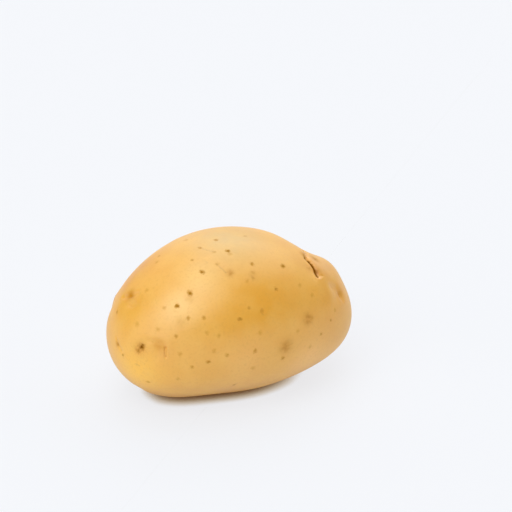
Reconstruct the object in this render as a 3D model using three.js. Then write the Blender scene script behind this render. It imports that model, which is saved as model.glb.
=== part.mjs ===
// A washed, yellow-skinned table potato, as one solid of its real size.
// Units are millimetres and +Z is up. +X is the stem end, where the tuber hung on its runner, and -X is
// the bud end, where most of its eyes are. The origin is under the middle of the tuber, on the surface
// that it rests on. The front, which shows two of the larger eyes, faces -Y.
import * as THREE from "three";
import { mergeVertices } from "three/addons/utils/BufferGeometryUtils.js";

// Driving dimensions of the plain body, before its swellings and eyes.
const LENGTH = 90;
const WIDTH = 62.6;
const HEIGHT = 56.8;

// How the body differs from an ellipsoid.
const FULLNESS = 2.06; // exponent of the cross-sections: 2 is an ellipse, more is squarer
const STEM_END_SLIMMER = 0.09; // share of the height that the stem end loses and the bud end gains
const END_DROP = 5.5; // both ends hang this much below the middle, so the back is arched

// The spot that the tuber rests on: a flat triangle between three low points, each [x, y], round the
// middle of its weight.
const LOW_POINTS = [
  [-13, -6.5],
  [9, -5.5],
  [-2.5, 10.5],
];
const FLAT_DEPTH = 1.2; // height of the rounded belly that is pressed flat
const FLAT_EDGE = 0.3; // height over which that rounds into the belly
const RIM_HEIGHT = 0.15; // the pressed skin outside the triangle is this much higher
const RIM_WIDTH = 3; // distance over which it rises to that

// Faces: 20 * (FINENESS + 1)^2 triangles.
const FINENESS = 22;
const EYE_CROWDING = 0.5; // share by which the faces shrink at the middle of an eye
const CROWDING_REACH = 0.2; // radius of that, as a share of the body's own radius
const NARROWEST = 0.8; // half width of the narrowest fold that these faces can follow
const DEEPEST = 0.7; // depth of the deepest groove that they can follow
const BROW_FOOT = 1.4; // distance in which a brow falls to its fold

const SKIN_COLOUR = 0xe4ad4d;
const SKIN_ROUGHNESS = 0.4;

// Places on the skin are given by two numbers. "along" is the distance in mm from the middle towards the
// stem end. "round" is the angle in degrees about the long axis, from the top towards the front.

// Round rises and hollows: reach is how far one spreads, rise is its height, both in mm.
const SWELLINGS = [
  { along: 30.5, round: -12, reach: 6, rise: -1.8 }, // saddle behind the large eye
  { along: 42, round: 40, reach: 10, rise: 0.4 }, // shoulder of the stem end
  { along: 37, round: 8, reach: 5, rise: 1.3 }, // knob above that shoulder
  { along: 44, round: -10, reach: 8, rise: -0.7 }, // blunt tip of the stem end
  { along: 36, round: 125, reach: 9, rise: 0.7 }, // chin of the stem end
  { along: -25, round: -38, reach: 14, rise: -1.4 }, // flatter back
  { along: -37, round: -62, reach: 10, rise: -0.6 }, // hollow behind the bud end
  { along: -14, round: 148, reach: 10, rise: -1.4 }, // flatter front of the belly
  { along: -42, round: -170, reach: 12, rise: -1.25 }, // undercut of the bud end
];

// Small round hollows and one rise, in the same terms.
const PITS = [
  { along: 25.8, round: 39, reach: 0.9, rise: -0.5 }, // lower end of the slit
  { along: -38.7, round: 73.5, reach: 1.1, rise: -0.8 }, // bud under the arch
  { along: -39.7, round: 78.5, reach: 0.9, rise: -0.4 }, // its tail
  { along: 34.8, round: 58, reach: 1.1, rise: -0.35 }, // bud of the small front eye
  { along: 28.2, round: 23, reach: 1.4, rise: -0.25 }, // dent in the large brow
  { along: 44.4, round: 100, reach: 2.2, rise: -1.0 }, // scar where the runner was attached
  { along: 44.4, round: 100, reach: 0.9, rise: 0.4 }, // stump in the middle of that scar
];

// An eye is a dish with a bud in it, below a crescent brow on its stem side, where a scale leaf grew.
// halfWidth is measured across the body and browLength is how far the brow runs out away from the fold.
// brow, fold, dish and bud are heights or depths, hook bends the brow's ends back, per mm, and turn is
// the angle in degrees by which the eye is turned from the long axis.
// The seen eyes have their folds and buds in the lists below instead.
const EYE_SHAPE = { fold: 0, bud: 0, browLength: 4.5, hook: 0.06, turn: 0 };
const EYES = [
  // the large eye at the stem end
  { along: 25.9, round: 32, halfWidth: 5.5, brow: 0.8, dish: 0.5, hook: 0.015, browLength: 6.5 },
  // the arched eye low at the bud end
  { along: -33.5, round: 78, halfWidth: 3.6, brow: 0.5, dish: 0.5, hook: 0.09, turn: 15, browLength: 4 },
  // the creased hollow high at the bud end
  { along: -37, round: 8, halfWidth: 3.4, brow: 0.6, fold: 0.3, dish: 0.7, turn: 35, browLength: 4 },
  // the small eye below the large one
  { along: 34, round: 56, halfWidth: 3, brow: 0, dish: 0.6 },
  // those of the back and the belly
  { along: 17, round: -78, halfWidth: 4.4, brow: 0.9, fold: 0.9, dish: 0.7, bud: 0.7, hook: 0.05 },
  { along: -10, round: -47, halfWidth: 3.6, brow: 0.6, fold: 0.7, dish: 0.6, bud: 0.6 },
  { along: -28, round: -100, halfWidth: 4, brow: 0.8, fold: 0.8, dish: 0.8, bud: 0.7, hook: 0.07 },
  { along: -38, round: -58, halfWidth: 3, brow: 0.6, fold: 0.6, dish: 0.6, bud: 0.6, hook: 0.09 },
  { along: 3, round: -142, halfWidth: 3.4, brow: 0.5, fold: 0.6, dish: 0.5, bud: 0.5 },
  { along: 33, round: -128, halfWidth: 3.8, brow: 0.7, fold: 0.8, dish: 0.6, bud: 0.6, hook: 0.05 },
  { along: 27, round: 158, halfWidth: 3.2, brow: 0.5, fold: 0.6, dish: 0.5, bud: 0.5 },
  { along: -33, round: 172, halfWidth: 3.2, brow: 0.6, fold: 0.6, dish: 0.6, bud: 0.6, hook: 0.08 },
].map((eye) => ({ ...EYE_SHAPE, ...eye }));

const BUD_REACH = 0.9;

// Grooves through a few places, each [along, round]. The half width goes from the first of widths, at the
// start of a groove, to the second.
const FOLDS = [
  // the slit under the large brow, with the two creases at its ends
  {
    through: [[24.6, 22.5], [24.8, 26], [25.4, 30], [25.7, 35], [25.7, 42]],
    widths: [0.4, 0.8],
    depth: 1.2,
  },
  { through: [[25.7, 41], [27.8, 41]], widths: [0.5, 0.4], depth: 0.25 },
  { through: [[27.8, 6], [26.4, 15], [24.7, 24]], widths: [1.0, 0.7], depth: 0.7 },
  // the arch over the low bud and the crease at its foot
  {
    through: [[-36.6, 68], [-34.7, 70], [-33.1, 73], [-32.4, 78]],
    widths: [0.9, 0.8],
    depth: 0.3,
  },
  { through: [[-32.4, 78], [-32.4, 87]], widths: [0.4, 0.4], depth: 0.5 },
  // the creases of the high hollow
  { through: [[-38.3, -6], [-36.8, 6], [-35.2, 13]], widths: [0.9, 0.7], depth: 0.6 },
  {
    through: [[-38.6, 10], [-38.0, 20], [-36.4, 24], [-35.1, 19]],
    widths: [0.6, 0.6],
    depth: 0.2,
  },
  // a scratch-like crease on the tip of the bud end
  { through: [[-43.9, 40], [-44.0, 55], [-43.5, 77]], widths: [0.5, 0.7], depth: 0.3 },
  // the hooked crease of the small front eye
  {
    through: [[30.8, 50.4], [33.6, 50.0], [34.7, 55.6], [35.1, 62.5]],
    widths: [1.3, 1.1],
    depth: 0.35,
  },
];

const SEMI_AXES = new THREE.Vector3(LENGTH / 2, WIDTH / 2, HEIGHT / 2);
const TO_STEM = new THREE.Vector3(1, 0, 0);

const bell = (x) => Math.exp(-x * x);

// The point of the plain body that lies in a direction from its middle.
function bodyPoint(direction) {
  const { x, y, z } = direction;
  const power =
    Math.abs(x) ** FULLNESS + Math.abs(y) ** FULLNESS + Math.abs(z) ** FULLNESS;
  const point = direction
    .clone()
    .multiply(SEMI_AXES)
    .divideScalar(power ** (1 / FULLNESS));
  const share = point.x / SEMI_AXES.x;
  point.z = point.z * (1 - STEM_END_SLIMMER * share) - END_DROP * share * share;
  return point;
}

// The direction in which the skin faces there.
function bodyNormal(direction) {
  return direction.clone().divide(SEMI_AXES).normalize();
}

// The direction from the middle to a place given by along and round.
function directionOf(along, round) {
  const x = along / SEMI_AXES.x;
  const across = Math.sqrt(1 - x * x);
  const angle = THREE.MathUtils.degToRad(round);
  return new THREE.Vector3(
    x,
    -across * Math.sin(angle),
    across * Math.cos(angle),
  );
}

// Each eye with its middle and its own axes: out of the skin, towards its brow, and sideways.
const placedEyes = EYES.map((eye) => {
  const direction = directionOf(eye.along, eye.round);
  const out = bodyNormal(direction);
  const toStem = TO_STEM.clone().addScaledVector(out, -out.x).normalize();
  const turn = THREE.MathUtils.degToRad(eye.turn);
  const toBrow = toStem.applyAxisAngle(out, turn);
  const sideways = out.clone().cross(toBrow);
  return { ...eye, direction, middle: bodyPoint(direction), out, toBrow, sideways };
});

const placedSpots = [...SWELLINGS, ...PITS].map((spot) => ({
  ...spot,
  middle: bodyPoint(directionOf(spot.along, spot.round)),
}));

const placedFolds = FOLDS.map((fold) => ({
  ...fold,
  widths: fold.widths.map((width) => Math.max(width, NARROWEST)),
  depth: Math.min(fold.depth, DEEPEST),
  path: fold.through.map(([along, round]) => bodyPoint(directionOf(along, round))),
}));

// How far an eye lifts the skin at a point of the body.
function eyeRise(eye, point) {
  const offset = point.clone().sub(eye.middle);
  const onTheFarSide = offset.dot(eye.out) < -eye.halfWidth * 2;
  if (onTheFarSide) return 0;
  const side = offset.dot(eye.sideways);
  const forward = offset.dot(eye.toBrow);
  const pastFold = forward + eye.hook * side * side;
  const browSlope = pastFold > 0 ? eye.browLength : BROW_FOOT;
  const brow =
    eye.brow * bell(pastFold / browSlope) * bell(side / (1.25 * eye.halfWidth));
  const fold =
    eye.fold *
    bell(pastFold / NARROWEST) *
    Math.exp(-((side / eye.halfWidth) ** 4));
  const dish =
    eye.dish *
    bell(side / (1.1 * eye.halfWidth)) *
    bell(pastFold / eye.halfWidth + 0.5);
  const fromBud = Math.hypot(side, forward + 0.75 * eye.halfWidth);
  const bud = eye.bud * bell(fromBud / (Math.SQRT2 * BUD_REACH));
  return brow - fold - dish - bud;
}

// How deep a groove is at a point of the body: the most that any of its stretches gives.
function foldDepth({ path, widths, depth }, point) {
  const stretches = path.length - 1;
  let share = 0;
  for (let i = 0; i < stretches; i++) {
    const stretch = new THREE.Line3(path[i], path[i + 1]);
    const run = stretch.closestPointToPointParameter(point, true);
    const away = stretch.at(run, new THREE.Vector3()).distanceTo(point);
    const width = THREE.MathUtils.lerp(...widths, (i + run) / stretches);
    share = Math.max(share, bell(away / width));
  }
  return depth * share;
}

// The finished skin in a direction from the middle.
function skinPoint(direction) {
  const point = bodyPoint(direction);
  let rise = 0;
  for (const spot of placedSpots)
    rise += spot.rise * bell(point.distanceTo(spot.middle) / (Math.SQRT2 * spot.reach));
  for (const eye of placedEyes) rise += eyeRise(eye, point);
  for (const fold of placedFolds) rise -= foldDepth(fold, point);
  return point.addScaledVector(bodyNormal(direction), rise);
}

// Draws the mesh's directions together round each eye, so that its folds get more of the faces.
function crowd(direction) {
  for (const eye of placedEyes) {
    const offset = direction.clone().sub(eye.direction);
    const pull = EYE_CROWDING * bell(offset.length() / CROWDING_REACH);
    direction.addScaledVector(offset, -pull).normalize();
  }
  return direction;
}

// How far a point of the floor is outside the triangle of the low points.
const lowTriangle = new THREE.Triangle(
  ...LOW_POINTS.map(([x, y]) => new THREE.Vector3(x, y, 0)),
);
function outsideTriangle(x, y) {
  const point = new THREE.Vector3(x, y, 0);
  const nearest = lowTriangle.closestPointToPoint(point, new THREE.Vector3());
  return nearest.distanceTo(point);
}

// Height above the floor once the belly is pressed flat, from the height that it had without that.
function settled(height, x, y) {
  if (height > FLAT_EDGE) return height;
  const pressed = height < -FLAT_EDGE ? 0 : (height + FLAT_EDGE) ** 2 / (4 * FLAT_EDGE);
  const rim = THREE.MathUtils.smoothstep(outsideTriangle(x, y), 0, RIM_WIDTH);
  return Math.max(pressed, RIM_HEIGHT) * rim;
}

// Moves the vertex that is nearest to a low point onto it.
function snapTo([x, y], place) {
  let nearest = 0;
  let least = Infinity;
  for (let i = 0; i < place.count; i++) {
    const away = Math.hypot(place.getX(i) - x, place.getY(i) - y, place.getZ(i));
    if (away < least) {
      least = away;
      nearest = i;
    }
  }
  place.setXYZ(nearest, x, y, 0);
}

function tuberGeometry() {
  const ball = new THREE.IcosahedronGeometry(1, FINENESS);
  ball.deleteAttribute("normal");
  ball.deleteAttribute("uv");
  const geometry = mergeVertices(ball, 1e-5);
  const place = geometry.getAttribute("position");
  const point = new THREE.Vector3();
  for (let i = 0; i < place.count; i++) {
    const direction = point.fromBufferAttribute(place, i).normalize().clone();
    place.setXYZ(i, ...skinPoint(crowd(direction)));
  }
  geometry.computeBoundingBox();
  const { min, max } = geometry.boundingBox;
  const floor = min.z + FLAT_DEPTH;
  for (let i = 0; i < place.count; i++) {
    const x = place.getX(i) - (min.x + max.x) / 2;
    const y = place.getY(i) - (min.y + max.y) / 2;
    place.setXYZ(i, x, y, settled(place.getZ(i) - floor, x, y));
  }
  for (const lowPoint of LOW_POINTS) snapTo(lowPoint, place);
  geometry.computeVertexNormals();
  return geometry;
}

const potatoSkin = new THREE.MeshStandardMaterial({
  color: SKIN_COLOUR,
  roughness: SKIN_ROUGHNESS,
  metalness: 0,
});

const tuber = new THREE.Mesh(tuberGeometry(), potatoSkin);
tuber.name = "potato";

const root = new THREE.Group();
root.add(tuber);

export default root;
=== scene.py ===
# %% [markdown]
# # A table potato
#
# A potato is not a root but a swollen piece of stem that grew underground, all in one piece. So this
# lesson makes one mesh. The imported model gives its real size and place, and a coarse form of it. Here we
# grow the same form again with many more faces, add what a washed skin shows at arm's length, and light
# it as a studio would.
#
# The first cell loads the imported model. Nothing else is read from disk.

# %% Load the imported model
import math
import random

import bmesh
import bpy
import numpy as np
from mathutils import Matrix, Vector
from mathutils.bvhtree import BVHTree


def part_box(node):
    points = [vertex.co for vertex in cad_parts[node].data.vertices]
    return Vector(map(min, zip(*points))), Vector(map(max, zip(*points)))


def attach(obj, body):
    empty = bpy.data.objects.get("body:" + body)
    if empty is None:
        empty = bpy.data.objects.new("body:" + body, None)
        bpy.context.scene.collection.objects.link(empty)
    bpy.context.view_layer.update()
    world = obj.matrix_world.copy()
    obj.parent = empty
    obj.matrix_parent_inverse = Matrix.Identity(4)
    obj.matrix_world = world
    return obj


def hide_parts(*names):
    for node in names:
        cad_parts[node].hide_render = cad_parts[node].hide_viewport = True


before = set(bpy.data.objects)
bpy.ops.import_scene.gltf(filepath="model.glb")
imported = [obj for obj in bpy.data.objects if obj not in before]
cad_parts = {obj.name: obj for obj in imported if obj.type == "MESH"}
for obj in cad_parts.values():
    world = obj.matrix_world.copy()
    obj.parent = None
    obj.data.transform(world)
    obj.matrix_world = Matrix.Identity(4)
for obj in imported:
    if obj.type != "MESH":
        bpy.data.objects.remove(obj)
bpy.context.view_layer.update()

solid_low, solid_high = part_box("potato")
print("the solid measures", [round(1000 * s, 1) for s in solid_high - solid_low], "mm")

# %% [markdown]
# ## The plain body
#
# Blender works in metres, but a potato is easier to think about in millimetres, so all shapes below are in
# millimetres and are scaled once, when the mesh is made.
#
# A tuber could be sculpted by hand, but then nobody could say how it was made. Instead we use a formula. We
# take a direction from the middle, as a unit vector, and ask how far away the skin is. The plain body is a
# slightly full ellipsoid, slimmer at the stem end, with both ends hanging a little, so its back is arched.
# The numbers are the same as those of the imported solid.

# %% The plain body
MM = 0.001

LENGTH = 90.0
WIDTH = 62.6
HEIGHT = 56.8
FULLNESS = 2.06
STEM_END_SLIMMER = 0.09
END_DROP = 5.5

SEMI_AXES = np.array([LENGTH, WIDTH, HEIGHT]) / 2


def unit(vectors):
    return vectors / np.linalg.norm(vectors, axis=-1, keepdims=True)


def bell(x):
    return np.exp(-x * x)


def body_point(directions):
    power = (np.abs(directions) ** FULLNESS).sum(axis=-1, keepdims=True)
    points = directions * SEMI_AXES / power ** (1 / FULLNESS)
    share = points[..., 0] / SEMI_AXES[0]
    points[..., 2] = points[..., 2] * (1 - STEM_END_SLIMMER * share) - END_DROP * share**2
    return points


def body_normal(directions):
    return unit(directions / SEMI_AXES)


def direction_of(along, around):
    """The direction to a place: mm towards the stem end, and degrees from the top round to the front."""
    x = along / SEMI_AXES[0]
    across = math.sqrt(1 - x * x)
    angle = math.radians(around)
    return np.array([x, -across * math.sin(angle), across * math.cos(angle)])


print("the tip of the stem end is at", body_point(np.array([1.0, 0.0, 0.0])).round(1))

# %% [markdown]
# ## Swellings
#
# No tuber is as regular as that. Where it pushed against stones or grew faster, it swells or stays flat.
# A handful of broad, low rises and hollows gives this one its own outline.

# %% Swellings
# along, reach and rise in mm, around in degrees
SWELLINGS = [
    dict(along=30.5, around=-12, reach=6, rise=-1.8),  # saddle behind the large eye
    dict(along=42, around=40, reach=10, rise=0.4),  # shoulder of the stem end
    dict(along=37, around=8, reach=5, rise=1.3),  # knob above that shoulder
    dict(along=44, around=-10, reach=8, rise=-0.7),  # blunt tip of the stem end
    dict(along=36, around=125, reach=9, rise=0.7),  # chin of the stem end
    dict(along=-25, around=-38, reach=14, rise=-1.4),  # flatter back
    dict(along=-37, around=-62, reach=10, rise=-0.6),  # hollow behind the bud end
    dict(along=-14, around=148, reach=10, rise=-1.4),  # flatter front of the belly
    dict(along=-42, around=-170, reach=12, rise=-1.25),  # undercut of the bud end
]


def round_rise(points, spots):
    """Soft round rises and hollows, each a bell whose reach is in mm."""
    rise = np.zeros(len(points))
    for spot in spots:
        middle = body_point(direction_of(spot["along"], spot["around"]))
        away = np.linalg.norm(points - middle, axis=1)
        rise += spot["rise"] * bell(away / (math.sqrt(2) * spot["reach"]))
    return rise


print("highest swelling", max(s["rise"] for s in SWELLINGS), "mm")

# %% [markdown]
# ## Eyes
#
# Each eye is a leaf joint of the stem. A scale leaf once grew on its stem side and left a crescent brow.
# Under the brow is a fold, then a shallow dish, and in the dish sits a bud in its pit. The brow is steep
# on the side of the fold and runs out softly towards the stem end.
#
# The eyes follow a loose spiral round the tuber and crowd towards the bud end. The first four show in the
# photograph. The others are on the sides that it doesn't show.

# %% Eyes
BUD_REACH = 0.9


def an_eye(along, around, half_width, brow, fold, dish, bud, hook=0.06, turn=0, brow_length=4.5):
    """A leaf joint: heights and depths in mm, hook bends the brow's ends back, turn is in degrees."""
    return dict(
        along=along,
        around=around,
        half_width=half_width,
        brow=brow,
        brow_length=brow_length,
        fold=fold,
        dish=dish,
        bud=bud,
        hook=hook,
        turn=turn,
    )


EYES = [
    an_eye(25.9, 32, 5.5, brow=0.8, fold=0.0, dish=0.5, bud=0.0, hook=0.015, brow_length=6.5),
    an_eye(-33.5, 78, 3.6, brow=0.5, fold=0.0, dish=0.5, bud=0.0, hook=0.09, turn=15, brow_length=4.0),
    an_eye(-37.0, 8, 3.4, brow=0.6, fold=0.3, dish=0.7, bud=0.0, turn=35, brow_length=4.0),
    an_eye(34.0, 56, 3.0, brow=0.0, fold=0.0, dish=0.6, bud=0.0),
    an_eye(17.0, -78, 4.4, brow=0.9, fold=0.9, dish=0.7, bud=0.7, hook=0.05),
    an_eye(-10.0, -47, 3.6, brow=0.6, fold=0.7, dish=0.6, bud=0.6),
    an_eye(-28.0, -100, 4.0, brow=0.8, fold=0.8, dish=0.8, bud=0.7, hook=0.07),
    an_eye(-38.0, -58, 3.0, brow=0.6, fold=0.6, dish=0.6, bud=0.6, hook=0.09),
    an_eye(3.0, -142, 3.4, brow=0.5, fold=0.6, dish=0.5, bud=0.5),
    an_eye(33.0, -128, 3.8, brow=0.7, fold=0.8, dish=0.6, bud=0.6, hook=0.05),
    an_eye(27.0, 158, 3.2, brow=0.5, fold=0.6, dish=0.5, bud=0.5),
    an_eye(-33.0, 172, 3.2, brow=0.6, fold=0.6, dish=0.6, bud=0.6, hook=0.08),
]
FOLD_WIDTH = 0.6
BROW_FOOT = 1.4  # distance in which a brow falls to its fold
# in half widths of the eye
BROW_WIDTH = 1.25
DISH_WIDTH = 1.1
DISH_BACK = 0.5
BUD_BACK = 0.75
EYE_DEPTH = 2.0


def eye_axes(eye):
    """The middle of an eye's fold, and its directions out of the skin, to its brow, and sideways."""
    direction = direction_of(eye["along"], eye["around"])
    out = body_normal(direction)
    to_stem = unit(np.array([1.0, 0.0, 0.0]) - out * out[0])
    across = np.cross(out, to_stem)
    turn = math.radians(eye["turn"])
    to_brow = to_stem * math.cos(turn) + across * math.sin(turn)
    return body_point(direction), out, to_brow, np.cross(out, to_brow)


def eye_parts(eye, points):
    """How strongly each point belongs to the eye's brow, fold, dish and bud, each from 0 to 1."""
    middle, out, to_brow, sideways = eye_axes(eye)
    offset = points - middle
    side = offset @ sideways
    forward = offset @ to_brow
    past_fold = forward + eye["hook"] * side**2
    width = eye["half_width"]
    near = (offset @ out) > -EYE_DEPTH * width
    slope = np.where(past_fold > 0, eye["brow_length"], BROW_FOOT)
    brow = bell(past_fold / slope) * bell(side / (BROW_WIDTH * width))
    fold = bell(past_fold / FOLD_WIDTH) * np.exp(-((side / width) ** 4))
    dish = bell(side / (DISH_WIDTH * width)) * bell(past_fold / width + DISH_BACK)
    bud = bell(np.hypot(side, forward + BUD_BACK * width) / (math.sqrt(2) * BUD_REACH))
    return near * brow, near * fold, near * dish, near * bud


def eye_rise(points):
    rise = np.zeros(len(points))
    for eye in EYES:
        brow, fold, dish, bud = eye_parts(eye, points)
        rise += eye["brow"] * brow - eye["fold"] * fold - eye["dish"] * dish - eye["bud"] * bud
    return rise


print("the tuber has", len(EYES), "eyes")

# %% [markdown]
# ## Folds and pits
#
# The eyes that the photograph shows have folds of their own: a long slit under the largest brow, an arch
# over a bud, a creased hollow. Each is a groove through a few places on the skin, and its half width grows
# from one end to the other. The buds are small round pits. At the stem end a shallow scar shows where the
# tuber hung on its runner.

# %% Folds and pits
# a place is its mm along the tuber and its degrees around it
SLIT = [(24.6, 22.5), (24.8, 26), (25.4, 30), (25.7, 35), (25.7, 42)]
ARCH = [(-36.6, 68), (-34.7, 70), (-33.1, 73), (-32.4, 78)]
HOOK = [(30.8, 50.4), (33.6, 50.0), (34.7, 55.6), (35.1, 62.5)]
LOOP = [(-38.6, 10), (-38.0, 20), (-36.4, 24), (-35.1, 19)]
FOLDS = [
    dict(through=SLIT, widths=(0.4, 0.7), depth=1.2, cork=1.4),
    dict(through=[(25.7, 41), (27.8, 41)], widths=(0.5, 0.4), depth=0.25, cork=0.3),
    dict(through=[(27.8, 6), (26.4, 15), (24.7, 24)], widths=(1.0, 0.7), depth=0.7, cork=0.5),
    dict(through=ARCH, widths=(0.9, 0.8), depth=0.3, cork=0.2),
    dict(through=[(-32.4, 78), (-32.4, 87)], widths=(0.4, 0.4), depth=0.5, cork=0.4),
    dict(through=[(-38.3, -6), (-36.8, 6), (-35.2, 13)], widths=(0.9, 0.7), depth=0.6, cork=0.1),
    dict(through=LOOP, widths=(0.6, 0.6), depth=0.2, cork=0.1),
    dict(through=[(-43.9, 40), (-44.0, 55), (-43.5, 77)], widths=(0.5, 0.7), depth=0.3, cork=0.3),
    dict(through=HOOK, widths=(1.3, 1.1), depth=0.35, cork=0.1),
]
PITS = [
    dict(along=25.8, around=39, reach=0.9, rise=-0.5, cork=0.8),  # lower end of the slit
    dict(along=-38.7, around=73.5, reach=1.1, rise=-0.8, cork=1.0),  # bud under the arch
    dict(along=-39.7, around=78.5, reach=0.9, rise=-0.4, cork=0.7),  # its tail
    dict(along=34.8, around=58, reach=1.1, rise=-0.35, cork=0.3),  # bud of the small front eye
    dict(along=28.2, around=23, reach=1.4, rise=-0.25, cork=0.3),  # dent in the large brow
]
SCARS = [
    dict(along=44.4, around=100, reach=2.2, rise=-1.0, cork=0.7),
    dict(along=44.4, around=100, reach=0.9, rise=0.4, cork=0.0),
]


def fold_share(points, fold):
    """How deep each point is in a groove, from 0 outside it to 1 on its line."""
    path = [body_point(direction_of(*place)) for place in fold["through"]]
    share = np.zeros(len(points))
    for i, (start, end) in enumerate(zip(path, path[1:])):
        run = end - start
        along_run = np.clip((points - start) @ run / (run @ run), 0, 1)
        away = np.linalg.norm(points - start - along_run[:, None] * run, axis=1)
        travelled = (i + along_run) / (len(path) - 1)
        width = fold["widths"][0] + (fold["widths"][1] - fold["widths"][0]) * travelled
        share = np.maximum(share, bell(away / width))
    return share


def fold_rise(points):
    return -sum(fold["depth"] * fold_share(points, fold) for fold in FOLDS)


print(len(FOLDS), "folds and", len(PITS), "pits")

# %% [markdown]
# ## The mesh
#
# An icosphere spreads its faces evenly, without the poles that a UV sphere has. We subdivide one finely,
# draw its vertices together round each eye, where the small folds need them, and push every vertex out
# to the skin.
#
# A tuber at rest settles on a small flat spot. We press the lowest part of the belly flat, just as the
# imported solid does, and let it touch the table in a triangle between three low points.

# %% The mesh
CUTS = 97
EYE_CROWDING = 0.5
CROWDING_REACH = 0.2
LOW_POINTS = np.array([(-13.0, -6.5), (9.0, -5.5), (-2.5, 10.5)])
FLAT_DEPTH = 1.2
FLAT_EDGE = 0.3
RIM_HEIGHT = 0.15
RIM_WIDTH = 3.0


def ball_mesh():
    ball = bmesh.new()
    bmesh.ops.create_icosphere(ball, subdivisions=1, radius=1)
    bmesh.ops.subdivide_edges(ball, edges=ball.edges[:], cuts=CUTS, use_grid_fill=True)
    mesh = bpy.data.meshes.new("potato_skin")
    ball.to_mesh(mesh)
    ball.free()
    return mesh


def crowd(directions):
    for eye in EYES:
        offset = directions - direction_of(eye["along"], eye["around"])
        away = np.linalg.norm(offset, axis=1, keepdims=True)
        directions = unit(directions - EYE_CROWDING * bell(away / CROWDING_REACH) * offset)
    return directions


def line_distance(points, start, end):
    """How far each point is from a straight stretch."""
    run = end - start
    share = np.clip((points - start) @ run / (run @ run), 0, 1)
    return np.linalg.norm(points - start - share[:, None] * run, axis=1)


def outside_triangle(places):
    """How far each place on the floor is outside the triangle of the low points."""
    inside = np.ones(len(places), bool)
    away = np.full(len(places), np.inf)
    for start, end in zip(LOW_POINTS, np.roll(LOW_POINTS, -1, axis=0)):
        run, offset = end - start, places - start
        inside &= run[0] * offset[:, 1] - run[1] * offset[:, 0] > 0
        away = np.minimum(away, line_distance(places, start, end))
    return np.where(inside, 0.0, away)


def settled(height, places):
    pressed = np.where(height < -FLAT_EDGE, 0.0, (height + FLAT_EDGE) ** 2 / (4 * FLAT_EDGE))
    rim = np.clip(outside_triangle(places) / RIM_WIDTH, 0, 1)
    low = np.maximum(pressed, RIM_HEIGHT) * rim * rim * (3 - 2 * rim)
    return np.where(height > FLAT_EDGE, height, low)


mesh = ball_mesh()
corners = np.zeros(3 * len(mesh.vertices))
mesh.vertices.foreach_get("co", corners)
directions = crowd(unit(corners.reshape(-1, 3)))
plain = body_point(directions)
rise = round_rise(plain, SWELLINGS + PITS + SCARS) + eye_rise(plain) + fold_rise(plain)
skin = plain + body_normal(directions) * rise[:, None]
low, high = skin.min(axis=0), skin.max(axis=0)
shift = np.array([(low[0] + high[0]) / 2, (low[1] + high[1]) / 2, low[2] + FLAT_DEPTH])
skin -= shift
skin[:, 2] = settled(skin[:, 2], skin[:, :2])
mesh.vertices.foreach_set("co", (skin * MM).ravel())
mesh.polygons.foreach_set("use_smooth", [True] * len(mesh.polygons))
mesh.update()
tuber = bpy.data.objects.new("potato_tuber", mesh)
bpy.context.scene.collection.objects.link(tuber)
print(len(mesh.polygons), "faces, box", skin.min(axis=0).round(1), skin.max(axis=0).round(1))

# %% [markdown]
# ## The camera
#
# The photograph looks down at about 24 degrees, and is turned so that the bud end comes nearer. A long
# lens keeps the outline true. The camera comes before the marks, because they are placed through it.

# %% The camera
PHOTO_SIZE = 512
VIEW_AZIMUTH = -25.0
VIEW_HEIGHT = 24.0
DISTANCE = 750.0
PIXELS_PER_MM = 2.867
POTATO_IN_PHOTO = (228.0, 309.2)
SENSOR = 36.0
FAR_CLIP = 100.0  # metres


def camera_axes():
    turn, lift = math.radians(VIEW_AZIMUTH), math.radians(VIEW_HEIGHT)
    back = np.array([math.sin(turn) * math.cos(lift), -math.cos(turn) * math.cos(lift), math.sin(lift)])
    right = np.array([math.cos(turn), math.sin(turn), 0.0])
    return back, right, np.cross(back, right)


back, right, up = camera_axes()
focal_pixels = PIXELS_PER_MM * DISTANCE
across = (PHOTO_SIZE / 2 - POTATO_IN_PHOTO[0]) / PIXELS_PER_MM
above = (POTATO_IN_PHOTO[1] - PHOTO_SIZE / 2) / PIXELS_PER_MM
lens_point = -shift + right * across + up * above + back * DISTANCE

lens = bpy.data.cameras.new("camera")
lens.sensor_width = SENSOR
lens.lens = focal_pixels / PHOTO_SIZE * SENSOR
lens.clip_end = FAR_CLIP
camera = bpy.data.objects.new("camera", lens)
bpy.context.scene.collection.objects.link(camera)
camera.location = Vector(lens_point * MM)
camera.rotation_euler = Vector(back).to_track_quat("Z", "Y").to_euler()
bpy.context.scene.camera = camera
print("camera at", lens_point.round(0), "mm, lens", round(lens.lens), "mm")

# %% [markdown]
# ## Finding places on the skin
#
# The marks were read off the photograph as pixels. A ray from the camera through such a pixel
# meets the skin at the real place, so a mark stays where it is when the potato is seen from elsewhere.

# %% Finding places on the skin
GRAZING = 0.1  # cosine

triangles = [tuple(face.vertices) for face in mesh.polygons]
skin_tree = BVHTree.FromPolygons([Vector(p) for p in skin], triangles)


def place_under(pixel):
    """The point of the skin, in mm, that shows at a pixel of the photograph."""
    x, y = pixel
    ray = right * (x - PHOTO_SIZE / 2) + up * (PHOTO_SIZE / 2 - y) - back * focal_pixels
    hit, _, _, _ = skin_tree.ray_cast(Vector(lens_point), Vector(unit(ray)))
    if hit is None:
        raise ValueError(f"no skin under pixel {pixel}")
    return np.array(hit)


def is_hidden(point, normal):
    """True for a place that the photograph doesn't show, or only at a grazing angle."""
    return float(np.dot(normal, unit(lens_point - point))) < GRAZING


normals = np.zeros(3 * len(mesh.vertices))
mesh.vertices.foreach_get("normal", normals)
normals = normals.reshape(-1, 3)
print("the middle of the photographed side is at", place_under(POTATO_IN_PHOTO).round(1))

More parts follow.
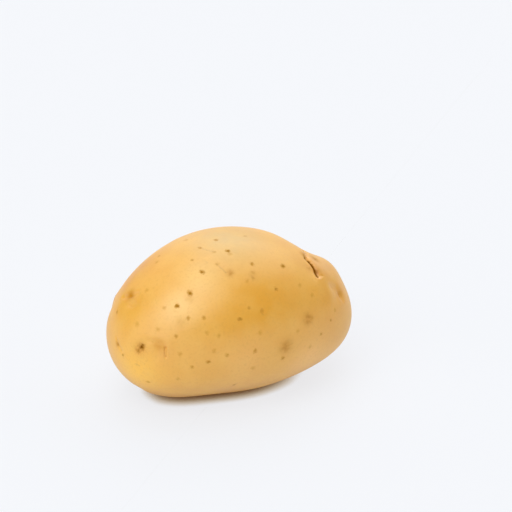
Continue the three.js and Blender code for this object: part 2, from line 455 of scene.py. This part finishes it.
# %% [markdown]
# ## Lenticels
#
# The brown specks are lenticels, corky pores through which the tuber breathes. They are 1 to 2 mm
# across. Each vertex stores how far it is from the nearest one, counted in that one's radius. A shader
# can then draw a crisp edge from a coarse mesh, because a distance changes evenly between vertices.
#
# Those in the photograph are placed by pixel, in four strengths. The hidden sides are a third larger and
# get twice as many, at random places from a seeded generator.

# %% Lenticels
SEED = 7
HIDDEN_LENTICELS = 110
SPACING = 2.5
SEEN_SPREAD = (0.9, 1.15)
HIDDEN_SPREAD = (0.8, 1.15)
HIDDEN_WEIGHTS = [1, 2, 4, 6]  # how often each kind is drawn
STRETCH = 0.4  # share of the squared distance that a speck's longer axis takes off
FAR_AWAY = 8.0  # in radii

STRONG_LENTICELS = [(202, 272), (228, 251), (190, 293), (177, 306), (283, 266)]
MIDDLE_LENTICELS = [(252, 264), (276, 289), (216, 240), (240, 319), (283, 358), (208, 362)]
SMALL_LENTICELS = [
    (331, 320), (321, 334), (227, 355), (192, 367), (117, 312), (176, 336), (200, 248), (192, 260),
    (204, 318), (188, 318), (249, 308), (255, 351), (123, 355), (148, 382), (234, 385), (118, 344),
]
FAINT_LENTICELS = [
    (186, 240), (159, 256), (157, 262), (262, 311), (300, 285), (312, 295), (335, 310), (164, 308),
    (178, 379), (207, 333), (219, 336), (214, 351), (260, 333), (298, 331), (310, 347), (137, 324),
    (158, 329), (214, 252), (217, 264), (180, 354), (253, 368), (147, 290), (245, 236), (230, 254),
    (253, 272), (253, 278), (247, 281),
]
# diameter in mm and strength of colour for each list above
LENTICEL_KINDS = [
    (STRONG_LENTICELS, 1.7, 1.0),
    (MIDDLE_LENTICELS, 1.5, 0.8),
    (SMALL_LENTICELS, 1.3, 0.6),
    (FAINT_LENTICELS, 1.5, 0.35),
]

draw = random.Random(SEED)
lenticels = [
    (place_under(pixel), diameter / 2 * draw.uniform(*SEEN_SPREAD), tone)
    for pixels, diameter, tone in LENTICEL_KINDS
    for pixel in pixels
]
seen_lenticels = len(lenticels)
while len(lenticels) < seen_lenticels + HIDDEN_LENTICELS:
    i = draw.randrange(len(skin))
    _, diameter, tone = draw.choices(LENTICEL_KINDS, weights=HIDDEN_WEIGHTS)[0]
    too_close = any(np.linalg.norm(skin[i] - place) < SPACING for place, _, _ in lenticels)
    if is_hidden(skin[i], normals[i]) and not too_close:
        lenticels.append((skin[i], diameter / 2 * draw.uniform(*HIDDEN_SPREAD), tone))

lenticel_distance = np.full(len(skin), FAR_AWAY)
lenticel_tone = np.zeros(len(skin))
for place, radius, tone in lenticels:
    stretch_direction = unit(np.array([draw.gauss(0, 1) for _ in range(3)]))
    offset = skin - place
    along_stretch = offset @ stretch_direction
    length = np.sqrt((offset**2).sum(axis=1) - STRETCH * along_stretch**2) / radius
    nearer = length < lenticel_distance
    lenticel_distance[nearer] = length[nearer]
    lenticel_tone[nearer] = tone
print(seen_lenticels, "lenticels seen and", HIDDEN_LENTICELS, "on the hidden sides")

# %% [markdown]
# ## Stains, areas of colour, scratches and cork
#
# A washed potato keeps a few brown stains where soil or a stone pressed on it, and its skin has areas of
# other colours, which are soft and 3 to 30 mm across. Some areas are painted light and shade: the belly is
# painted browner towards the table, the eye hollows darker, and the top and the highlight paler.
# Harvest and washing leave hairline scratches. In the folds and the bud pits, the tissue is cork, which is
# dark brown. Each of these is one number per vertex, from 0 to 1.

# %% Stains, areas of colour, scratches and cork
# pixel, radius in mm, strength
STAINS = [
    ((308, 319), 1.9, 0.6),
    ((312, 318), 0.8, 0.5),
    ((286, 347), 2.6, 0.5),
    ((181, 322), 1.7, 0.25),
    ((230, 273), 1.3, 0.55),
    ((253, 276), 1.6, 0.3),
    ((190, 298), 1.6, 0.25),
    ((315, 259), 1.6, 0.6),
    ((315, 272), 1.3, 0.9),
    ((303, 254), 1.2, 0.5),
    ((309, 268), 1.6, 0.35),
    ((118, 344), 1.2, 0.4),
    ((141, 348), 2.2, 0.5),
]
# Areas of skin colour, each with its colour and its soft spots. Where the skin is thin the flesh shows
# golden or yellow, where it is thick and waxy it is buff, and round the eyes it is pinker. The straw area
# over the top and the cream spots along the diagonal highlight are paler skin and partly painted highlight.
# The ochre spots darken the hollows of three eyes as painted shade. The painted belly shade has no spots:
# it darkens the skin towards the table, by the height above it.
SKIN_AREAS = {
    "golden": ("#E5A226", [((262, 305), 13.0, 0.8), ((328, 312), 9.0, 0.8), ((150, 266), 6.0, 0.8)]),
    "yellow": ("#F8BD38", [((138, 374), 9.0, 0.9)]),
    # straw and cream: paler skin over the top and along the diagonal highlight, partly painted highlight
    "straw_painted_top_sheen": ("#CCA655", [((228, 240), 14.0, 0.9), ((205, 270), 7.0, 0.5)]),
    "cream_painted_highlight": ("#F2C266", [((198, 278), 6.0, 0.7), ((180, 306), 7.0, 0.7)]),
    "buff": ("#F3B85A", [((308, 358), 8.0, 0.9), ((245, 362), 7.0, 0.5)]),
    "pink": (
        "#DC9850",
        [((128, 280), 5.0, 0.6), ((141, 268), 5.0, 0.6), ((325, 266), 4.0, 0.4), ((340, 296), 3.0, 0.5)],
    ),
    # painted shade: darker ochre in the hollows of three eyes
    "ochre_painted_hollow_shade": ("#BC7C04", [((131, 295), 1.8, 0.9), ((159, 346), 2.2, 0.4), ((340, 294), 1.4, 0.5)]),
    # painted shade: the belly is browner the nearer it is to the table
    "painted_belly_shade": ("#A0640A", []),
}
SCRATCHES = [
    [(198, 247), (206, 250), (215, 252)],
    [(217, 264), (222, 269), (226, 273)],
    [(262, 308), (261, 312), (263, 315)],
    [(136, 364), (140, 366)],
    [(231, 387), (237, 383)],
    [(203, 260), (207, 263)],
]
BELLY_SHADE_HEIGHT = 8.0
MOST_BELLY_SHADE = 0.65
PINK_OF_BROWS = 0.4
SCRATCH_HALF_WIDTH = 0.22
SCRATCH_STRENGTH = 0.4


def soft_spots(spots):
    """The strongest of several soft round spots at each vertex."""
    amount = np.zeros(len(skin))
    for pixel, radius, strength in spots:
        away = np.linalg.norm(skin - place_under(pixel), axis=1)
        amount = np.maximum(amount, strength * bell(away / radius))
    return amount


stain = soft_spots(STAINS)
areas = {name: soft_spots(spots) for name, (_, spots) in SKIN_AREAS.items()}
# painted shade of the belly: darker and browner the nearer the skin is to the table
areas["painted_belly_shade"] = np.minimum(MOST_BELLY_SHADE, bell(skin[:, 2] / BELLY_SHADE_HEIGHT))
scratch = np.zeros(len(skin))
for pixels in SCRATCHES:
    places = [place_under(pixel) for pixel in pixels]
    for start, end in zip(places, places[1:]):
        near = bell(line_distance(skin, start, end) / SCRATCH_HALF_WIDTH)
        scratch = np.maximum(scratch, SCRATCH_STRENGTH * near)

cork = np.zeros(len(skin))
for eye in EYES:
    brow, fold, _, bud = eye_parts(eye, plain)
    cork = np.maximum(cork, np.maximum(eye["fold"] * fold, eye["bud"] * bud))
    areas["pink"] = np.maximum(areas["pink"], PINK_OF_BROWS * eye["brow"] * brow)
for fold in FOLDS:
    cork = np.maximum(cork, fold["cork"] * fold_share(plain, fold))
for spot in PITS + SCARS:
    cork = np.maximum(cork, spot["cork"] * round_rise(plain, [spot]) / spot["rise"])


def store(name, values):
    attribute = mesh.attributes.new(name, "FLOAT", "POINT")
    attribute.data.foreach_set("value", values.astype(np.float32))
    print(f"stored {name}, from {values.min():.2f} to {values.max():.2f}")


store("lenticel_distance", lenticel_distance)
store("lenticel_tone", lenticel_tone)
store("stain", stain)
for name, amount in areas.items():
    store(name, amount)
store("scratch", scratch)
store("cork", cork)

# %% [markdown]
# ## Colours and nodes
#
# Colours are written as sRGB hex values, as a colour picker shows them, and one function turns them
# linear. Another small function adds a shader node, sets it up and links it. It finds a socket by its
# identifier, because a Mix or Math node has several sockets of the same name.

# %% Colours and nodes
def colour(code):
    values = [int(code[i : i + 2], 16) / 255 for i in (1, 3, 5)]
    linear = [v / 12.92 if v <= 0.04045 else ((v + 0.055) / 1.055) ** 2.4 for v in values]
    return (*linear, 1.0)


def add(tree, kind, settings=None, **inputs):
    """Adds a node. An input is a value, a socket, or a node whose first shown output is linked."""
    node = tree.nodes.new(kind)
    for name, value in (settings or {}).items():
        setattr(node, name, value)
    sockets = {socket.identifier.replace(" ", "_"): socket for socket in node.inputs}
    for name, value in inputs.items():
        if isinstance(value, bpy.types.Node):
            value = next(output for output in value.outputs if output.enabled)
        if isinstance(value, bpy.types.NodeSocket):
            tree.links.new(value, sockets[name])
        else:
            sockets[name].default_value = value
    return node


MIX_COLOURS = {"data_type": "RGBA"}
TIMES = {"operation": "MULTIPLY"}
PLUS = {"operation": "ADD"}
LARGER = {"operation": "MAXIMUM"}

skin_material = bpy.data.materials.new("washed_potato_periderm")
skin_material.use_nodes = True
tree = skin_material.node_tree
tree.nodes.clear()
print("mid grey is", round(colour("#808080")[0], 3), "in linear light")

# %% [markdown]
# ## The colour of the skin
#
# Potato skin is periderm: a few layers of thin, flat cork cells over yellow flesh. Where it is thin the
# flesh shows golden, and where it is thicker it is paler and buff. So the colour drifts slowly over
# centimetres, also from area to area, is mottled over a few millimetres, and has a faint grain of cork
# cells. Real cells are 0.03 mm wide, far too fine to show, so the grain is drawn at 0.8 mm.
#
# Noise nodes make all three. Their Scale counts repeats per metre of object space, so we give it one over
# the size in metres.

# %% The colour of the skin
DRIFT_SIZE = 24.0
MOTTLE_SIZE = 6.0
GRAIN_SIZE = 0.8

SKIN = colour("#E6A93C")
DRIFTED_SKIN = colour("#E9AC30")
PALE_MOTTLE = colour("#EDBB58")
DARK_GRAIN = colour("#D0932F")

place = add(tree, "ShaderNodeTexCoord").outputs["Object"]
drift = add(tree, "ShaderNodeTexNoise", Vector=place, Scale=1 / (DRIFT_SIZE * MM), Detail=2.0)
drift_share = add(tree, "ShaderNodeMapRange", Value=drift, From_Min=0.35, From_Max=0.65, To_Max=0.5)
tinted = add(tree, "ShaderNodeMix", MIX_COLOURS, Factor_Float=drift_share, A_Color=SKIN, B_Color=DRIFTED_SKIN)
for name, (code, _) in SKIN_AREAS.items():
    area = add(tree, "ShaderNodeAttribute", {"attribute_name": name})
    tinted = add(tree, "ShaderNodeMix", MIX_COLOURS, Factor_Float=area, A_Color=tinted, B_Color=colour(code))

mottle = add(tree, "ShaderNodeTexNoise", Vector=place, Scale=1 / (MOTTLE_SIZE * MM), Detail=4.0)
mottle_share = add(tree, "ShaderNodeMapRange", Value=mottle, From_Min=0.4, From_Max=0.7, To_Max=0.35)
mottled = add(
    tree, "ShaderNodeMix", MIX_COLOURS, Factor_Float=mottle_share, A_Color=tinted, B_Color=PALE_MOTTLE
)
grain = add(tree, "ShaderNodeTexNoise", Vector=place, Scale=1 / (GRAIN_SIZE * MM), Detail=2.0)
grain_share = add(tree, "ShaderNodeMapRange", Value=grain, From_Min=0.5, From_Max=0.75, To_Max=0.28)
grained = add(
    tree, "ShaderNodeMix", MIX_COLOURS, Factor_Float=grain_share, A_Color=mottled, B_Color=DARK_GRAIN
)
print("skin colour drifts over", DRIFT_SIZE, "mm and is mottled over", MOTTLE_SIZE, "mm")

# %% [markdown]
# ## Marks in the skin
#
# Over the plain skin come the stains, the scratches, the lenticels and the cork of the folds. Stains and
# lenticels are corky tissue that is brown right through, so each is a darker colour mixed in by its
# stored number. A noise makes the edges ragged, because a mark on a grown skin is never a clean disc.
#
# Cork deepens as it thickens: a thin layer is russet and a lenticel is a duller brown. Deep in a
# slit or a bud pit the cork is darkest, and that darkest brown is partly painted shade of the crease.

# %% Marks in the skin
RAGGED_SIZE = 1.5
SPECK_EDGE_SIZE = 0.7

STAIN_BROWN = colour("#A05C04")
SCRATCH_BROWN = colour("#A06818")
THIN_CORK = colour("#B87208")
THICK_CORK = colour("#A07220")
# darkest cork deep in slits and pits, partly painted shade of the crease
SHADED_DEEP_CORK = colour("#84500A")

ragged = add(tree, "ShaderNodeTexNoise", Vector=place, Scale=1 / (RAGGED_SIZE * MM), Detail=3.0)
ragged_share = add(tree, "ShaderNodeMapRange", Value=ragged, From_Min=0.35, From_Max=0.6, To_Min=0.45)
stain = add(tree, "ShaderNodeAttribute", {"attribute_name": "stain"})
stain_share = add(tree, "ShaderNodeMath", TIMES, Value=stain, Value_001=ragged_share)
stained = add(
    tree, "ShaderNodeMix", MIX_COLOURS, Factor_Float=stain_share, A_Color=grained, B_Color=STAIN_BROWN
)
scratch = add(tree, "ShaderNodeAttribute", {"attribute_name": "scratch"})
scratch_share = add(tree, "ShaderNodeMath", TIMES, Value=scratch, Value_001=ragged_share)
scratched = add(
    tree, "ShaderNodeMix", MIX_COLOURS, Factor_Float=scratch_share, A_Color=stained, B_Color=SCRATCH_BROWN
)

edge = add(tree, "ShaderNodeTexNoise", Vector=place, Scale=1 / (SPECK_EDGE_SIZE * MM), Detail=2.0)
wobble = add(tree, "ShaderNodeMapRange", Value=edge, From_Min=0.3, From_Max=0.7, To_Min=-0.3, To_Max=0.3)
distance = add(tree, "ShaderNodeAttribute", {"attribute_name": "lenticel_distance"})
from_lenticel = add(tree, "ShaderNodeMath", PLUS, Value=distance, Value_001=wobble)
speck = add(
    tree, "ShaderNodeMapRange", Value=from_lenticel, From_Min=0.3, From_Max=1.3, To_Min=1.0, To_Max=0.0
)
tone = add(tree, "ShaderNodeAttribute", {"attribute_name": "lenticel_tone"})
speck_share = add(tree, "ShaderNodeMath", TIMES, Value=speck, Value_001=tone)
cork = add(tree, "ShaderNodeAttribute", {"attribute_name": "cork"})
cork_edge = add(tree, "ShaderNodeMapRange", Value=edge, From_Min=0.3, From_Max=0.7, To_Min=-0.2, To_Max=0.2)
ragged_cork = add(tree, "ShaderNodeMath", PLUS, Value=cork, Value_001=cork_edge)
cork_share = add(tree, "ShaderNodeMapRange", Value=ragged_cork, From_Min=0.25, From_Max=0.95)
corky = add(tree, "ShaderNodeMath", LARGER, Value=cork_share, Value_001=speck_share)
cork_brown = add(
    tree, "ShaderNodeMix", MIX_COLOURS, Factor_Float=corky, A_Color=THIN_CORK, B_Color=THICK_CORK
)
# partly painted shade: deep in a slit or a bud pit the cork darkens further
deep_shade_share = add(tree, "ShaderNodeMapRange", Value=cork_share, From_Min=0.55, From_Max=1.0)
cork_and_crease_shade = add(
    tree, "ShaderNodeMix", MIX_COLOURS, Factor_Float=deep_shade_share, A_Color=cork_brown, B_Color=SHADED_DEEP_CORK
)
corked = add(tree, "ShaderNodeMix", MIX_COLOURS, Factor_Float=corky, A_Color=scratched, B_Color=cork_and_crease_shade)
print("marks are ragged over", RAGGED_SIZE, "mm, lenticels over", SPECK_EDGE_SIZE, "mm")

# %% [markdown]
# ## The finish of the skin
#
# A washed and dried potato is satin: its cork cells carry a film of wax, which gives a broad, soft sheen.
# Cork wax has an IOR near 1.5. The sheen in the photograph is about twice as strong as that alone gives,
# so the specular level is doubled. The roughness of 0.4 spreads it over a third of the tuber.
#
# Cork is matt. Where the skin is marked the roughness rises and the sheen is tinted brown.
# Without that, a pale veil would lie over every mark and turn it grey. The painted shade of the eye
# hollows and of the belly dulls and browns the sheen in the same way, which is painted shade on the sheen.
#
# A little light enters the skin and comes back warmer, which subsurface scattering does. The relief too
# small for the mesh is a bump: a faint wrinkling 1.4 mm across and 0.05 mm high, and lenticels that stand
# 0.06 mm out of the skin.

# %% The finish of the skin
WRINKLE_SIZE = 1.4
WRINKLE_HEIGHT = 0.05
LENTICEL_HEIGHT = 0.06
MATT_CORK = 0.3
WHITE_SHEEN = colour("#FFFFFF")
BROWN_SHEEN = colour("#7A4A20")
SCATTER_DEPTH = 1.5

wrinkles = add(
    tree, "ShaderNodeTexNoise", Vector=place, Scale=1 / (WRINKLE_SIZE * MM), Detail=4.0, Roughness=0.6
)
wrinkle_bump = add(tree, "ShaderNodeBump", Height=wrinkles, Distance=WRINKLE_HEIGHT * MM)
lenticel_bump = add(
    tree, "ShaderNodeBump", Height=speck_share, Distance=LENTICEL_HEIGHT * MM, Normal=wrinkle_bump
)
satin = add(tree, "ShaderNodeMapRange", Value=mottle, From_Min=0.3, From_Max=0.7, To_Min=0.37, To_Max=0.45)
# real marks, and the painted shade of the eye hollows and the belly, which also darkens the sheen there
marks_and_painted_shade = add(tree, "ShaderNodeMath", LARGER, Value=corky, Value_001=stain_share)
for name in ("ochre_painted_hollow_shade", "painted_belly_shade"):
    area = add(tree, "ShaderNodeAttribute", {"attribute_name": name})
    marks_and_painted_shade = add(tree, "ShaderNodeMath", LARGER, Value=marks_and_painted_shade, Value_001=area)
dull = add(tree, "ShaderNodeMath", TIMES, Value=marks_and_painted_shade, Value_001=MATT_CORK)
roughness = add(tree, "ShaderNodeMath", PLUS, Value=satin, Value_001=dull)
sheen = add(
    tree, "ShaderNodeMix", MIX_COLOURS, Factor_Float=marks_and_painted_shade, A_Color=WHITE_SHEEN, B_Color=BROWN_SHEEN
)
shader = add(
    tree,
    "ShaderNodeBsdfPrincipled",
    Base_Color=corked,
    Roughness=roughness,
    IOR=1.5,
    Specular_IOR_Level=1.0,
    Specular_Tint=sheen,
    Subsurface_Weight=0.1,
    Subsurface_Radius=(1.0, 0.5, 0.2),
    Subsurface_Scale=SCATTER_DEPTH * MM,
    Normal=lenticel_bump,
)
add(tree, "ShaderNodeOutputMaterial", Surface=shader)

mesh.materials.append(skin_material)
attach(tuber, "root")
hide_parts("potato")
print(len(tree.nodes), "nodes in", skin_material.name)

# %% [markdown]
# ## The table
#
# Such photographs are taken on a sheet of white acrylic that is lit from below, so that the ground stays
# nearly white right up to the object and the shadow shrinks to a dark line. Four fifths of our sheet's
# brightness is its own glow and the rest is reflected light.
#
# The shadow that is left is painted, and warm: an ambient occlusion node tells how open the space above
# the sheet is, within 5 mm, and where it closes, the glow and the colour of the sheet fade through beige
# to brown.

# %% The table
SHEET_HALF = 20.0
SHEET_COLOUR = colour("#6B6C6E")
SHEET_LIGHT = (0.982, 1.0, 1.037, 1.0)  # light, already linear, and its blue is above what hex can hold
SHEET_GLOW = 0.75
SHADOW_REACH = 5.0
SHADE_BROWN = colour("#6A3A06")
SHADE_BEIGE = colour("#D8BE96")
SHADE_COLOUR = colour("#2C1804")
SHADE_GLOW = 0.6

corners = [(x * SHEET_HALF, y * SHEET_HALF, 0) for x, y in ((-1, -1), (1, -1), (1, 1), (-1, 1))]
sheet_mesh = bpy.data.meshes.new("acrylic_sheet")
sheet_mesh.from_pydata(corners, [], [(0, 1, 2, 3)])
sheet = bpy.data.objects.new("acrylic_sheet", sheet_mesh)
bpy.context.scene.collection.objects.link(sheet)

sheet_material = bpy.data.materials.new("white_acrylic_lit_from_below")
sheet_material.use_nodes = True
tree = sheet_material.node_tree
tree.nodes.clear()
# painted shadow: the glow and the colour of the sheet turn brown where the skin closes the space above it
gap = add(tree, "ShaderNodeAmbientOcclusion", Distance=SHADOW_REACH * MM).outputs["AO"]
openness = add(tree, "ShaderNodeMapRange", Value=gap, From_Min=0.05, From_Max=0.55)
inner = add(tree, "ShaderNodeMapRange", Value=openness, From_Max=0.5)
outer = add(tree, "ShaderNodeMapRange", Value=openness, From_Min=0.3, From_Max=1.0)
shade = add(tree, "ShaderNodeMix", MIX_COLOURS, Factor_Float=inner, A_Color=SHADE_BROWN, B_Color=SHADE_BEIGE)
glow_colour = add(tree, "ShaderNodeMix", MIX_COLOURS, Factor_Float=outer, A_Color=shade, B_Color=SHEET_LIGHT)
sheet_colour = add(
    tree, "ShaderNodeMix", MIX_COLOURS, Factor_Float=openness, A_Color=SHADE_COLOUR, B_Color=SHEET_COLOUR
)
glow = add(tree, "ShaderNodeMapRange", Value=openness, To_Min=SHADE_GLOW, To_Max=SHEET_GLOW)
shader = add(
    tree,
    "ShaderNodeBsdfPrincipled",
    Base_Color=sheet_colour,
    Roughness=0.9,
    Specular_IOR_Level=0.0,
    Emission_Color=glow_colour,
    Emission_Strength=glow,
)
add(tree, "ShaderNodeOutputMaterial", Surface=shader)
sheet_mesh.materials.append(sheet_material)
print("the sheet is", 2 * SHEET_HALF, "m wide")

# %% [markdown]
# ## The lights
#
# The sheen shows where the softboxes stood: a large one in front at the upper left makes the diagonal
# highlight, one overhead and two behind make the pale top, and low ones at both sides light the ends. In
# front at the right there is none, so the middle of the tuber stays ochre. A sun lamp with a wide angle
# is a softbox that is far away: its shadow is soft, and it lights the scene evenly. The low one at the
# right lights the skin but leaves no highlight, as if it were bounced off a rough wall.

# %% The lights
ROOM_LIGHT = 0.12
ROOM_COLOUR = colour("#FFFFFF")

bpy.context.scene.view_settings.view_transform = "Standard"
world = bpy.data.worlds.new("room")
bpy.context.scene.world = world
world.use_nodes = True
tree = world.node_tree
tree.nodes.clear()
room = add(tree, "ShaderNodeBackground", Color=ROOM_COLOUR, Strength=ROOM_LIGHT)
add(tree, "ShaderNodeOutputWorld", Surface=room)

to_camera = unit(np.array([back[0], back[1], 0.0]))
overhead = np.array([0.0, 0.0, 1.0])


def softbox(name, turn, height, irradiance, width, in_sheen=True):
    """A soft light: turn is in degrees from the camera to the right, height above the table's level."""
    level = math.cos(math.radians(turn)) * to_camera + math.sin(math.radians(turn)) * right
    towards = math.cos(math.radians(height)) * level + math.sin(math.radians(height)) * overhead
    sun = bpy.data.lights.new(name, "SUN")
    sun.energy = irradiance
    sun.angle = math.radians(width)
    lamp = bpy.data.objects.new(name, sun)
    bpy.context.scene.collection.objects.link(lamp)
    lamp.rotation_euler = Vector(towards).to_track_quat("Z", "Y").to_euler()
    lamp.visible_glossy = in_sheen


softbox("front_left_softbox", -20, 48, irradiance=1.2, width=55)
softbox("low_left_softbox", -50, 12, irradiance=1.1, width=60)
softbox("overhead_softbox", -60, 75, irradiance=0.8, width=60)
softbox("back_left_softbox", -155, 40, irradiance=0.6, width=60)
softbox("back_right_softbox", 150, 55, irradiance=1.0, width=60)
softbox("low_back_softbox", 170, 15, irradiance=0.6, width=60)
softbox("low_right_softbox", 95, 15, irradiance=0.7, width=60, in_sheen=False)
print("seven softboxes and a room light of", ROOM_LIGHT)
